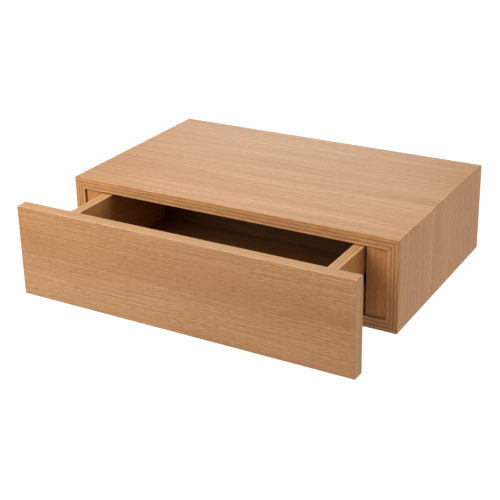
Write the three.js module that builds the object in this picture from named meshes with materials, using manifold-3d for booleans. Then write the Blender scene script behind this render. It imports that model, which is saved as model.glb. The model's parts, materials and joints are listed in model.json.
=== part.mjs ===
// Floating nightstand: a mitred oak box that hangs on a wall, with one wide drawer on ball-bearing runners.
// Millimetres. X runs across, Y from the front to the wall, Z up. The drawer stands open, as it is shown.
import * as THREE from "three";
import { mergeVertices } from "three/addons/utils/BufferGeometryUtils.js";
import Module from "manifold-3d";

const wasm = await Module();
wasm.setup();

// Carcass
const width = 500;
const height = 130;
const depth = 304;
const board = 16;
const edging = 1.5; // solid strip glued on the front edge of each board
const arris = 0.6; // radius of the sanded outer edges
const arrisSteps = 2;
const glueLine = 0.1;

// Back of the carcass and what hangs it on the wall
const backThick = 6;
const backHoused = 5; // how deep the back sits in its grooves
const backFit = 0.25;
const backInset = 18; // room behind the back for the cleats
const cleatStandOff = 0.5; // the hanging cleat stays clear of the wall
const hookFit = 0.3;
const cleatGap = 10; // between the wall cleat and the lower rail
const wallCleatShort = 14; // at each end, so that the box can be shifted sideways on the wall
const wallHoleRadius = 2.5;
const wallHoleHead = 5;
const wallHoleFromEnd = 50;
const wallHoleCount = 4;
const lowerRailTall = 20;

// Fillers and cheeks that narrow the opening to the drawer
const fillerWidth = 30;
const fillerThick = 16;
const fillerRecess = 3;
const fillerGap = 0.75; // shadow line round the filler
const cheekThick = 16;

// Drawer
const frontThick = 18;
const frontBand = 1;
const closedGap = 2; // between the closed front and the carcass
const openAtRest = 106; // how far the drawer stands out from closed
const sideGap = 2;
const topGap = 2;
const bottomGap = 2;
const sideThick = 15;
const endThick = 12;
const bottomThick = 5;
const bottomRise = 8;
const bottomHoused = 5;
const bottomFit = 0.25;
const padRadius = 4;
const padThick = 1.5;
const padFromEdge = 8;

// Ball-bearing runners
const railTall = 17;
const railDeep = 10;
const railSetback = 1; // behind the filler
const railShort = 14; // drawer side left past the rail's rear end
const railFit = 0.75; // above and below a rail in the drawer side's groove
const gauge = 1;
const bend = 0.8;
const bendSteps = 3;
const ballRadius = 1.5;
const ballPlay = 0.1;
const ballPitch = 8;
const ballSides = 10;
const ballRings = 6;
const racewayDip = 0.5;
const cageGauge = 0.6;
const cageRun = 0.4; // between the cage and the cabinet rail
const cageLong = 58;
const stopGauge = 1;
const stopTall = 4;
const frontHoleInset = 17; // from the rail's front end
const rearHoleInset = 37;
const slotLong = 8;
const slotWide = 3.4;
const slotFromHole = 14; // from the middle of a slot to the screw hole beside it

// Screws
const headRadius = 2.9;
const headDeep = 1.7;
const shankRadius = 1.5;
const screwPoint = 2.5;
const screwFit = 0.2;
const screwSides = 12;
const tipCover = 0.5; // wood left past the tip of a screw in a thin board
const frontTipCover = 5; // wood left past the tips of the longer screws
const frontScrewInset = 37; // from the inner face of the drawer's side
const frontScrewFromEdge = 27;
const cleatTipCover = 3.5;
const cleatScrewInset = 74; // from the inner face of the carcass side

// Touch latch behind the drawer
const latchPlateWide = 44;
const latchPlateTall = 20;
const latchPlateThick = 3;
const latchScrewInset = 6.5;
const latchBarrelRadius = 7;
const latchBarrelLong = 19;
const latchBoreLong = 15;
const latchPress = 4;
const plungerRadius = 4;
const plungerFit = 0.3;
const plungerHeadRadius = 5.5;
const plungerHeadLong = 4;
const plungerHeadRun = 0.4; // head to barrel when the plunger is pressed in
const latchReach = 0.3; // tip to strike plate when the drawer is closed
const strikeRadius = 8;
const strikeThick = 1.2;
const strikePinRadius = 1.5;
const strikePinLong = 6;
const roundSides = 24;
const edgeBreak = 0.4;

const overrun = 5; // how far a cutting shape reaches past what it cuts
const mergeShare = 0.01; // of a sheet's gauge: outline points closer than this are one point
const quarter = Math.PI / 2;

// Places worked out from the sizes above
const innerHalf = width / 2 - board;
const innerTop = height - board;
const cheekFace = innerHalf - fillerWidth;
const fillerBack = fillerRecess + fillerThick;
const wallSideOfBack = depth - backInset;
const roomSideOfBack = wallSideOfBack - backThick;
const hookLow = (board + innerTop + backInset) / 2; // wall side of the hook's slope
const hookHigh = hookLow + backInset;
const wallCleatLow = board + lowerRailTall + cleatGap;
const wallCleatMiddle = (wallCleatLow + hookLow) / 2;
const drawerFace = cheekFace - sideGap;
const drawerTop = innerTop - topGap;
const drawerLow = board + bottomGap;
const drawerFront = -closedGap;
const latchBack = roomSideOfBack - glueLine;
const latchPlateFront = latchBack - latchPlateThick;
const latchBarrelFront = latchPlateFront - latchBarrelLong;
const plungerTip = latchBarrelFront - plungerHeadRun - latchPress - plungerHeadLong;
const drawerBack = plungerTip - latchReach - strikeThick;
const railMiddle = (board + innerTop) / 2;
const grooveDeep = railDeep - sideGap;
const railFront = fillerBack + railSetback;
const railBack = drawerBack - railShort;
const holePlaces = [railFront + frontHoleInset, railBack - rearHoleInset];
const frontScrewLong = endThick + frontThick - frontTipCover;
const cleatScrewLong = backThick + backInset - cleatStandOff - cleatTipCover;
const latchScrewLong = latchPlateThick + backThick - tipCover;

const oakFace = new THREE.MeshStandardMaterial({ color: 0xc9a27c, roughness: 0.55, flatShading: true });
const oakEdge = new THREE.MeshStandardMaterial({ color: 0xb98a56, roughness: 0.55, flatShading: true });
const oakInside = new THREE.MeshStandardMaterial({ color: 0xa9794b, roughness: 0.65, flatShading: true });
const plywood = new THREE.MeshStandardMaterial({ color: 0xb08a5e, roughness: 0.75, flatShading: true });
const blackSteel = new THREE.MeshStandardMaterial({
  color: 0x26262a,
  roughness: 0.4,
  metalness: 0.8,
  flatShading: true,
});
const brightSteel = new THREE.MeshStandardMaterial({
  color: 0xb9bcc0,
  roughness: 0.3,
  metalness: 1,
  flatShading: true,
});
const clearPad = new THREE.MeshStandardMaterial({ color: 0xe6e4de, roughness: 0.4, flatShading: true });
const latchPlastic = new THREE.MeshStandardMaterial({ color: 0x8d8f92, roughness: 0.5, flatShading: true });

const carcass = new THREE.Group();
const drawer = new THREE.Group();
const cages = new THREE.Group();

function addPiece(group, name, geometry, material) {
  const mesh = new THREE.Mesh(geometry, material);
  mesh.name = name;
  group.add(mesh);
  return mesh;
}

// Solids for cutting and joining
function toSolid(geometry) {
  const bare = geometry.clone();
  bare.deleteAttribute("normal");
  bare.deleteAttribute("uv");
  const merged = mergeVertices(bare);
  const vertProperties = merged.attributes.position.array;
  const triVerts = new Uint32Array(merged.index.array);
  return new wasm.Manifold(new wasm.Mesh({ numProp: 3, vertProperties, triVerts }));
}

function toGeometry(solid) {
  const { vertProperties, triVerts } = solid.getMesh();
  const geometry = new THREE.BufferGeometry();
  geometry.setAttribute("position", new THREE.BufferAttribute(vertProperties, 3));
  return geometry.setIndex(new THREE.BufferAttribute(triVerts, 1));
}

function cut(geometry, ...tools) {
  return toGeometry(tools.reduce((left, tool) => left.subtract(toSolid(tool)), toSolid(geometry)));
}

function join(geometry, ...others) {
  return toGeometry(others.reduce((whole, other) => whole.add(toSolid(other)), toSolid(geometry)));
}

function within(geometry, envelope) {
  return toGeometry(toSolid(geometry).intersect(toSolid(envelope)));
}

// Basic forms
function boxBetween(low, high) {
  const [x, y, z] = high.map((value, axis) => value - low[axis]);
  const middle = high.map((value, axis) => (value + low[axis]) / 2);
  return new THREE.BoxGeometry(x, y, z).translate(...middle);
}

// A section drawn in X and Z, extruded along Y.
function alongY(section, front, back) {
  const options = { depth: back - front, bevelEnabled: false, curveSegments: bendSteps };
  return new THREE.ExtrudeGeometry(section, options).rotateX(quarter).translate(0, back, 0);
}

// A section drawn in Y and Z, extruded along X, centred.
function alongX(section, long) {
  const options = { depth: long, bevelEnabled: false, curveSegments: roundSides / 4 };
  const turned = new THREE.Matrix4().makeBasis(
    new THREE.Vector3(0, 1, 0),
    new THREE.Vector3(0, 0, 1),
    new THREE.Vector3(1, 0, 0),
  );
  return new THREE.ExtrudeGeometry(section, options).translate(0, 0, -long / 2).applyMatrix4(turned);
}

function polygon(points) {
  return new THREE.Shape(points.map(([a, b]) => new THREE.Vector2(a, b)));
}

// A turned form: the outline gives [radius, distance along the axis], and the axis then points along `way`.
function turned(outline, way, sides = roundSides) {
  const points = outline.map(([radius, along]) => new THREE.Vector2(radius, along));
  const aim = new THREE.Quaternion().setFromUnitVectors(new THREE.Vector3(0, 1, 0), way);
  return new THREE.LatheGeometry(points, sides).applyQuaternion(aim);
}

const toRight = new THREE.Vector3(1, 0, 0);
const toLeft = new THREE.Vector3(-1, 0, 0);
const toWall = new THREE.Vector3(0, 1, 0);
const toRoom = new THREE.Vector3(0, -1, 0);

// A block with all its outer edges sanded. What is cut to it keeps its size but loses its sharp arrises.
function sandedBlock(front, back) {
  const corner = arris * 2;
  const outline = new THREE.Shape();
  const x = width / 2 - corner;
  const z = height / 2 - corner;
  outline.absarc(x, z, corner, 0, quarter);
  outline.absarc(-x, z, corner, quarter, 2 * quarter);
  outline.absarc(-x, -z, corner, 2 * quarter, 3 * quarter);
  outline.absarc(x, -z, corner, 3 * quarter, 4 * quarter);
  const block = new THREE.ExtrudeGeometry(outline, {
    depth: back - front - 2 * arris,
    bevelThickness: arris,
    bevelSize: arris,
    bevelOffset: -arris,
    bevelSegments: arrisSteps,
    curveSegments: arrisSteps,
  });
  return block.rotateX(quarter).translate(0, back - arris, height / 2);
}

// Four boards mitred at the corners into a frame of the full width and height. Each is drawn as a section,
// y along the depth and z inwards from the outer face, and its ends are drawn in by as much as each point
// lies inwards, which makes the mitres.
function mitredFrame(front, back, thick, groove) {
  const inner = groove
    ? [
        [groove.back, thick],
        [groove.back, thick - groove.deep],
        [groove.front, thick - groove.deep],
        [groove.front, thick],
      ]
    : [];
  const section = polygon([[front, 0], [back, 0], [back, thick], ...inner, [front, thick]]);
  const block = sandedBlock(front, back);

  function mitredBoard(long, inwards, middle) {
    const piece = new THREE.ExtrudeGeometry(section, { depth: long, bevelEnabled: false });
    const place = piece.attributes.position;
    for (let i = 0; i < place.count; i += 1) {
      const drawnIn = place.getY(i) + glueLine;
      place.setZ(i, place.getZ(i) > long / 2 ? long / 2 - drawnIn : drawnIn - long / 2);
    }
    const along = new THREE.Vector3().crossVectors(toWall, inwards);
    const turn = new THREE.Matrix4().makeBasis(toWall, inwards, along).setPosition(...middle);
    return within(piece.applyMatrix4(turn), block);
  }

  return {
    top: mitredBoard(width, new THREE.Vector3(0, 0, -1), [0, 0, height]),
    bottom: mitredBoard(width, new THREE.Vector3(0, 0, 1), [0, 0, 0]),
    left: mitredBoard(height, toRight, [-width / 2, 0, height / 2]),
    right: mitredBoard(height, toLeft, [width / 2, 0, height / 2]),
  };
}

// Countersunk screws. The head's flat face is at 0 and the screw points against `way`.
function screw(long, way) {
  const outline = [
    [0, -long],
    [shankRadius, screwPoint - long],
    [shankRadius, -headDeep],
    [headRadius, 0],
    [0, 0],
  ];
  return turned(outline, way, screwSides);
}

function screwHole(long, way) {
  const outline = [
    [0, -long - screwFit],
    [shankRadius + screwFit, screwPoint - long],
    [shankRadius + screwFit, -headDeep],
    [headRadius + screwFit, 0],
    [headRadius + screwFit, overrun],
    [0, overrun],
  ];
  return turned(outline, way, screwSides);
}

// Mitred carcass boards with their front edging and back
function buildCase() {
  const groove = {
    front: roomSideOfBack - backFit,
    back: wallSideOfBack + backFit,
    deep: backHoused + backFit,
  };
  const boards = mitredFrame(edging + glueLine, depth, board, groove);
  addPiece(carcass, "top_panel", boards.top, oakFace);
  addPiece(carcass, "bottom_panel", boards.bottom, oakFace);
  addPiece(carcass, "left_side_panel", boards.left, oakFace);
  addPiece(carcass, "right_side_panel", boards.right, oakFace);

  const strips = mitredFrame(0, edging, board);
  addPiece(carcass, "top_edging", strips.top, oakEdge);
  addPiece(carcass, "bottom_edging", strips.bottom, oakEdge);
  addPiece(carcass, "left_edging", strips.left, oakEdge);
  addPiece(carcass, "right_edging", strips.right, oakEdge);
}

// Back, and the pair of sloping cleats that hook the box on the wall
function buildBack() {
  const backHalf = innerHalf + backHoused;
  const sheet = boxBetween(
    [-backHalf, roomSideOfBack, board - backHoused],
    [backHalf, wallSideOfBack, innerTop + backHoused],
  );
  const hangHeight = (hookHigh + hookFit + innerTop) / 2;
  const lowHeight = board + lowerRailTall / 2;
  const screwX = innerHalf - cleatScrewInset;
  const rails = [
    ["hanging_cleat", hangHeight],
    ["lower_rail", lowHeight],
  ];
  const screws = [];
  for (const [rail, z] of rails) {
    screws.push({ name: `${rail}_screw_left`, place: [-screwX, roomSideOfBack, z] });
    screws.push({ name: `${rail}_screw_right`, place: [screwX, roomSideOfBack, z] });
  }
  const backScrewHoles = screws.map(({ place }) => screwHole(cleatScrewLong, toRoom).translate(...place));
  addPiece(carcass, "back_panel", cut(sheet, ...backScrewHoles, ...latchScrewHoles()), plywood);

  const cleatFront = wallSideOfBack + glueLine;
  const cleatBack = depth - cleatStandOff;
  // The hook's slope falls by as much as it goes back, down to hookLow at the wall.
  const slopeAt = (y) => hookLow + depth - y;
  const hangingSection = polygon([
    [cleatFront, slopeAt(cleatFront) + hookFit],
    [cleatBack, slopeAt(cleatBack) + hookFit],
    [cleatBack, innerTop - glueLine],
    [cleatFront, innerTop - glueLine],
  ]);
  const hanging = alongX(hangingSection, 2 * (innerHalf - glueLine));
  addPiece(carcass, "hanging_cleat", cut(hanging, ...backScrewHoles), plywood);

  const hookFront = wallSideOfBack + hookFit;
  const wallSection = polygon([
    [hookFront, wallCleatLow],
    [depth, wallCleatLow],
    [depth, slopeAt(depth)],
    [hookFront, slopeAt(hookFront)],
  ]);
  const wallCleatLong = 2 * (innerHalf - wallCleatShort);
  const wallHole = turned(
    [
      [0, -overrun - backInset],
      [wallHoleRadius, -overrun - backInset],
      [wallHoleRadius, wallHoleRadius - wallHoleHead],
      [wallHoleHead, 0],
      [wallHoleHead, overrun],
      [0, overrun],
    ],
    toRoom,
  );
  const wallHoleStep = (wallCleatLong - 2 * wallHoleFromEnd) / (wallHoleCount - 1);
  const wallHoles = [];
  for (let i = 0; i < wallHoleCount; i += 1) {
    const x = (i - (wallHoleCount - 1) / 2) * wallHoleStep;
    wallHoles.push(wallHole.clone().translate(x, hookFront, wallCleatMiddle));
  }
  addPiece(carcass, "wall_cleat", cut(alongX(wallSection, wallCleatLong), ...wallHoles), plywood);

  const lowerRail = boxBetween(
    [glueLine - innerHalf, cleatFront, board + glueLine],
    [innerHalf - glueLine, depth, board + lowerRailTall],
  );
  addPiece(carcass, "lower_rail", cut(lowerRail, ...backScrewHoles), plywood);

  for (const { name, place } of screws) {
    addPiece(carcass, name, screw(cleatScrewLong, toRoom), brightSteel).position.set(...place);
  }
}

// Touch latch: pressing the closed front releases it, so the drawer needs no handle
function latchScrewPlaces() {
  const x = latchPlateWide / 2 - latchScrewInset;
  return [
    [-x, latchPlateFront, railMiddle],
    [x, latchPlateFront, railMiddle],
  ];
}

function latchScrewHoles() {
  return latchScrewPlaces().map((place) => screwHole(latchScrewLong, toRoom).translate(...place));
}

function buildLatch() {
  const plate = boxBetween(
    [-latchPlateWide / 2, latchPlateFront, railMiddle - latchPlateTall / 2],
    [latchPlateWide / 2, latchBack, railMiddle + latchPlateTall / 2],
  );
  const barrel = turned(
    [
      [0, 0],
      [latchBarrelRadius - edgeBreak, 0],
      [latchBarrelRadius, edgeBreak],
      [latchBarrelRadius, latchBarrelLong + latchPlateThick / 2],
      [0, latchBarrelLong + latchPlateThick / 2],
    ],
    toWall,
  ).translate(0, latchBarrelFront, railMiddle);
  const boreRadius = plungerRadius + plungerFit;
  const bore = turned(
    [
      [0, -overrun],
      [boreRadius, -overrun],
      [boreRadius, latchBoreLong],
      [0, latchBoreLong],
    ],
    toWall,
  ).translate(0, latchBarrelFront, railMiddle);
  const housing = cut(join(plate, barrel), bore, ...latchScrewHoles());
  addPiece(carcass, "latch_housing", housing, latchPlastic);
  latchScrewPlaces().forEach((place, i) => {
    const name = `latch_screw_${["left", "right"][i]}`;
    addPiece(carcass, name, screw(latchScrewLong, toRoom), brightSteel).position.set(...place);
  });

  const stemEnd = latchBarrelFront + latchBoreLong - latchPress - plungerFit - plungerTip;
  const plunger = turned(
    [
      [0, 0],
      [plungerHeadRadius - edgeBreak, 0],
      [plungerHeadRadius, edgeBreak],
      [plungerHeadRadius, plungerHeadLong],
      [plungerRadius, plungerHeadLong],
      [plungerRadius, stemEnd - edgeBreak],
      [plungerRadius - edgeBreak, stemEnd],
      [0, stemEnd],
    ],
    toWall,
  );
  addPiece(carcass, "latch_plunger", plunger, latchPlastic).position.set(0, plungerTip, railMiddle);
}

// Runner sections are drawn in X and Z about the runner's middle height, with X = 0 on the cheek's face and
// positive towards the drawer. Each is rolled sheet: a centre line, mirrored about Z = 0 and thickened.
function rolledSection(half, thick) {
  const upper = half.getPoints(bendSteps);
  const lower = upper.map(({ x, y }) => new THREE.Vector2(x, -y)).reverse();
  const apart = (point, i, all) => i === 0 || point.distanceTo(all[i - 1]) > thick * mergeShare;
  const line = [...upper, ...lower].filter(apart);
  const sides = [[], []];
  line.forEach((point, i) => {
    const before = new THREE.Vector2().subVectors(point, line[Math.max(i - 1, 0)]);
    const after = new THREE.Vector2().subVectors(line[Math.min(i + 1, line.length - 1)], point);
    const first = (i === 0 ? after : before).clone().normalize();
    const second = (i === line.length - 1 ? before : after).clone().normalize();
    const mitre = first.clone().add(second).normalize();
    const normal = new THREE.Vector2(-mitre.y, mitre.x);
    const reach = thick / 2 / mitre.dot(first);
    sides[0].push(point.clone().addScaledVector(normal, reach));
    sides[1].unshift(point.clone().addScaledVector(normal, -reach));
  });
  return new THREE.Shape(sides.flat());
}

const raceway = ballRadius + ballPlay + gauge / 2;
const ballAcross = railDeep / 2;
const ballUp = railTall / 2 - gauge / 2 - raceway;
const cageWeb = gauge + cageRun + cageGauge / 2;

// A slot with round ends through a rail's web, for shifting the rail before its screws are driven home.
function slotCutter(webX, y, upright) {
  const reach = (slotLong - slotWide) / 2;
  const outline = new THREE.Shape();
  outline.absarc(reach, 0, slotWide / 2, -quarter, quarter);
  outline.absarc(-reach, 0, slotWide / 2, quarter, 3 * quarter);
  const cutter = alongX(outline, 2 * gauge);
  return cutter.rotateX(upright ? quarter : 0).translate(webX, y, railMiddle);
}

// The wide rail is screwed to the cheek, and its lips curl over the balls.
function cabinetRailLine() {
  const line = new THREE.Path();
  line.absarc(ballAcross, ballUp, raceway, 0, quarter);
  line.lineTo(gauge / 2 + bend, ballUp + raceway);
  line.absarc(gauge / 2 + bend, ballUp + raceway - bend, bend, quarter, 2 * quarter);
  line.lineTo(gauge / 2, 0);
  return line;
}

// The narrow rail is screwed into the drawer side's groove, and its flanges dip under the balls.
function drawerRailLine() {
  const flange = ballUp - raceway + racewayDip;
  const web = railDeep - gauge / 2;
  const dipAngle = Math.asin((ballUp - flange) / raceway);
  const line = new THREE.Path();
  line.moveTo(cageWeb + cageGauge / 2 + cageRun, flange);
  line.lineTo(ballAcross - raceway * Math.cos(dipAngle), flange);
  line.absarc(ballAcross, ballUp, raceway, dipAngle - 2 * quarter, -dipAngle);
  line.lineTo(web - bend, flange);
  line.absarc(web - bend, flange - bend, bend, quarter, 0, true);
  line.lineTo(web, 0);
  return line;
}

// The cage is a strip bent to a U, whose two legs hold the balls.
function cageLine() {
  const legEnd = ballAcross + raceway - gauge / 2 - cageRun;
  const line = new THREE.Path();
  line.moveTo(legEnd, ballUp);
  line.lineTo(cageWeb + bend, ballUp);
  line.absarc(cageWeb + bend, ballUp - bend, bend, quarter, 2 * quarter);
  line.lineTo(cageWeb, 0);
  return line;
}

// Runner, cheek, filler and drawer side of one side, built for the right and mirrored for the left.
function buildSide(side, sign) {
  const fixed = new THREE.Group();
  const sliding = new THREE.Group();
  const halfway = new THREE.Group();
  for (const [group, owner] of [[fixed, carcass], [sliding, drawer], [halfway, cages]]) {
    group.scale.x = sign;
    owner.add(group);
  }
  // From a runner's section to its place: X turned round and set against the cheek.
  function seat(geometry) {
    return geometry.rotateZ(2 * quarter).translate(cheekFace, railFront + railBack, railMiddle);
  }

  const filler = boxBetween(
    [cheekFace, fillerRecess, board + fillerGap],
    [innerHalf - fillerGap, fillerBack, innerTop - fillerGap],
  );
  addPiece(fixed, `${side}_filler_strip`, filler, oakEdge);

  const cheekScrewLong = gauge + cheekThick - screwPoint;
  const cheekHoles = holePlaces.map((y) =>
    screwHole(cheekScrewLong, toLeft).translate(cheekFace - gauge, y, railMiddle),
  );
  const cheek = boxBetween(
    [cheekFace, fillerBack + glueLine, board + glueLine],
    [cheekFace + cheekThick, roomSideOfBack - glueLine, innerTop - glueLine],
  );
  addPiece(fixed, `${side}_cheek`, cut(cheek, ...cheekHoles), oakInside);

  const channel = seat(alongY(rolledSection(cabinetRailLine(), gauge), railFront, railBack));
  const frontStop = boxBetween(
    [cheekFace - cageWeb - cageGauge / 2, railFront, railMiddle - stopTall / 2],
    [cheekFace - gauge / 2, railFront + stopGauge, railMiddle + stopTall / 2],
  );
  const slotPlaces = [holePlaces[0] + slotFromHole, holePlaces[1] - slotFromHole];
  const cabinetSlots = slotPlaces.map((y, i) => slotCutter(cheekFace - gauge / 2, y, i === 0));
  const cabinetRail = cut(join(channel, frontStop), ...cheekHoles, ...cabinetSlots);
  addPiece(fixed, `${side}_cabinet_rail`, cabinetRail, blackSteel);
  holePlaces.forEach((y, i) => {
    const name = `${side}_cabinet_rail_screw_${["front", "rear"][i]}`;
    const made = addPiece(fixed, name, screw(cheekScrewLong, toLeft), brightSteel);
    made.position.set(cheekFace - gauge, y, railMiddle);
  });

  // The drawer side carries the runner's groove outside and the bottom's groove inside.
  const sideInner = drawerFace - sideThick;
  const grooveTop = railMiddle + railTall / 2 + railFit;
  const grooveLow = railMiddle - railTall / 2 - railFit;
  const houseLow = drawerLow + bottomRise - bottomFit;
  const houseTop = drawerLow + bottomRise + bottomThick + bottomFit;
  const houseDeep = bottomHoused + bottomFit;
  const sideSection = polygon([
    [sideInner, drawerLow],
    [drawerFace, drawerLow],
    [drawerFace, grooveLow],
    [drawerFace - grooveDeep, grooveLow],
    [drawerFace - grooveDeep, grooveTop],
    [drawerFace, grooveTop],
    [drawerFace, drawerTop],
    [sideInner, drawerTop],
    [sideInner, houseTop],
    [sideInner + houseDeep, houseTop],
    [sideInner + houseDeep, houseLow],
    [sideInner, houseLow],
  ]);
  const sideScrewLong = gauge + sideThick - grooveDeep - tipCover;
  const sideHoles = holePlaces.map((y) =>
    screwHole(sideScrewLong, toRight).translate(cheekFace - railDeep + gauge, y, railMiddle),
  );
  const drawerSide = cut(alongY(sideSection, drawerFront + glueLine, drawerBack), ...sideHoles);
  addPiece(sliding, `${side}_drawer_side`, drawerSide, oakInside);

  const insert = seat(alongY(rolledSection(drawerRailLine(), gauge), railFront, railBack));
  const rearStop = boxBetween(
    [cheekFace - railDeep + gauge / 2, railBack - stopGauge, railMiddle - stopTall / 2],
    [cheekFace - cageWeb, railBack, railMiddle + stopTall / 2],
  );
  const drawerSlots = slotPlaces.map((y) => slotCutter(cheekFace - railDeep + gauge / 2, y, false));
  const drawerRail = cut(join(insert, rearStop), ...sideHoles, ...drawerSlots);
  addPiece(sliding, `${side}_drawer_rail`, drawerRail, blackSteel);
  holePlaces.forEach((y, i) => {
    const name = `${side}_drawer_rail_screw_${["front", "rear"][i]}`;
    const made = addPiece(sliding, name, screw(sideScrewLong, toRight), brightSteel);
    made.position.set(cheekFace - railDeep + gauge, y, railMiddle);
  });

  // At full travel the cage is caught between the two rails' stops.
  const cageMiddle = (railFront + railBack) / 2;
  const cageSection = rolledSection(cageLine(), cageGauge);
  const strip = alongY(cageSection, cageMiddle - cageLong / 2, cageMiddle + cageLong / 2);
  const ballsInRow = Math.floor((cageLong - 2 * ballRadius) / ballPitch);
  const balls = [];
  for (let i = 0; i < ballsInRow; i += 1) {
    const y = cageMiddle + (i - (ballsInRow - 1) / 2) * ballPitch;
    for (const z of [-ballUp, ballUp]) {
      balls.push(new THREE.SphereGeometry(ballRadius, ballSides, ballRings).translate(ballAcross, y, z));
    }
  }
  addPiece(halfway, `${side}_ball_cage`, seat(join(strip, ...balls)), brightSteel);
}

// Drawer box between its sides, and the wide front that covers the carcass
function buildDrawer() {
  const boxInner = drawerFace - sideThick;
  const houseLow = drawerLow + bottomRise - bottomFit;
  const houseTop = drawerLow + bottomRise + bottomThick + bottomFit;

  // An end of the box, with the groove for the bottom in the face that looks into the drawer.
  function boxEnd(outer, inner) {
    const housed = inner + Math.sign(outer - inner) * (bottomHoused + bottomFit);
    const section = polygon([
      [outer, drawerLow],
      [inner, drawerLow],
      [inner, houseLow],
      [housed, houseLow],
      [housed, houseTop],
      [inner, houseTop],
      [inner, drawerTop],
      [outer, drawerTop],
    ]);
    return alongX(section, 2 * (boxInner - glueLine));
  }

  const frontOuter = drawerFront - glueLine;
  const frontInner = drawerFront + endThick;
  const screwX = boxInner - frontScrewInset;
  const screwLevels = [
    ["lower", drawerLow + frontScrewFromEdge],
    ["upper", drawerTop - frontScrewFromEdge],
  ];
  const screwPlaces = [];
  for (const [side, x] of [["left", -screwX], ["right", screwX]]) {
    for (const [level, z] of screwLevels) {
      screwPlaces.push({ name: `front_panel_screw_${level}_${side}`, place: [x, frontInner, z] });
    }
  }
  const screwHoles = screwPlaces.map(({ place }) => screwHole(frontScrewLong, toWall).translate(...place));
  const boxFront = cut(boxEnd(drawerFront + glueLine, frontInner), ...screwHoles);
  addPiece(drawer, "drawer_box_front", boxFront, oakInside);
  for (const { name, place } of screwPlaces) {
    addPiece(drawer, name, screw(frontScrewLong, toWall), brightSteel).position.set(...place);
  }

  const strikeOutline = (fit) => [
    [0, -strikePinLong - fit],
    [strikePinRadius + fit, -strikePinLong - fit],
    [strikePinRadius + fit, 0],
    [strikeRadius, 0],
    [strikeRadius, strikeThick - edgeBreak],
    [strikeRadius - edgeBreak, strikeThick],
    [0, strikeThick],
  ];
  const pinHole = turned(strikeOutline(screwFit), toWall).translate(0, drawerBack, railMiddle);
  const boxBack = cut(boxEnd(drawerBack, drawerBack - endThick), pinHole);
  addPiece(drawer, "drawer_back", boxBack, oakInside);
  const strike = addPiece(drawer, "strike_plate", turned(strikeOutline(0), toWall), brightSteel);
  strike.position.set(0, drawerBack, railMiddle);

  const sheet = boxBetween(
    [-boxInner - bottomHoused, frontInner - bottomHoused, drawerLow + bottomRise],
    [boxInner + bottomHoused, drawerBack - endThick + bottomHoused, drawerLow + bottomRise + bottomThick],
  );
  addPiece(drawer, "drawer_bottom", sheet, plywood);

  const panelFront = frontOuter - frontThick;
  const core = boxBetween(
    [frontBand + glueLine - width / 2, panelFront, frontBand + glueLine],
    [width / 2 - frontBand - glueLine, frontOuter, height - frontBand - glueLine],
  );
  addPiece(drawer, "front_panel", cut(core, ...screwHoles), oakFace);
  const bands = mitredFrame(panelFront, frontOuter, frontBand);
  addPiece(drawer, "front_panel_top_band", bands.top, oakEdge);
  addPiece(drawer, "front_panel_bottom_band", bands.bottom, oakEdge);
  addPiece(drawer, "front_panel_left_band", bands.left, oakEdge);
  addPiece(drawer, "front_panel_right_band", bands.right, oakEdge);

  // Soft pads on the back of the front, which meet the carcass edging when the drawer shuts.
  const padOutline = [
    [0, 0],
    [padRadius, 0],
    [padRadius, padThick / 2],
    [padRadius - padThick / 2, padThick],
    [0, padThick],
  ];
  for (const [side, x] of [["left", padFromEdge - width / 2], ["right", width / 2 - padFromEdge]]) {
    for (const [level, z] of [["lower", padFromEdge], ["upper", height - padFromEdge]]) {
      const pad = addPiece(drawer, `bumper_pad_${level}_${side}`, turned(padOutline, toWall), clearPad);
      pad.position.set(x, frontOuter, z);
    }
  }
}

buildCase();
buildBack();
buildLatch();
buildSide("left", -1);
buildSide("right", 1);
buildDrawer();

// The drawer stands open, and a ball cage travels half as far as the drawer.
drawer.position.y = -openAtRest;
cages.position.y = -openAtRest / 2;

// The origin is the middle of the wall cleat's back face, where the piece meets the wall.
const nightstand = new THREE.Group();
nightstand.add(carcass, drawer, cages);
nightstand.position.set(0, -depth, -wallCleatMiddle);

export default nightstand;
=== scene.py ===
import json
import math

import bmesh
import bpy
from bpy.props import FloatProperty, FloatVectorProperty, PointerProperty
from mathutils import Matrix, Vector


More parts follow.
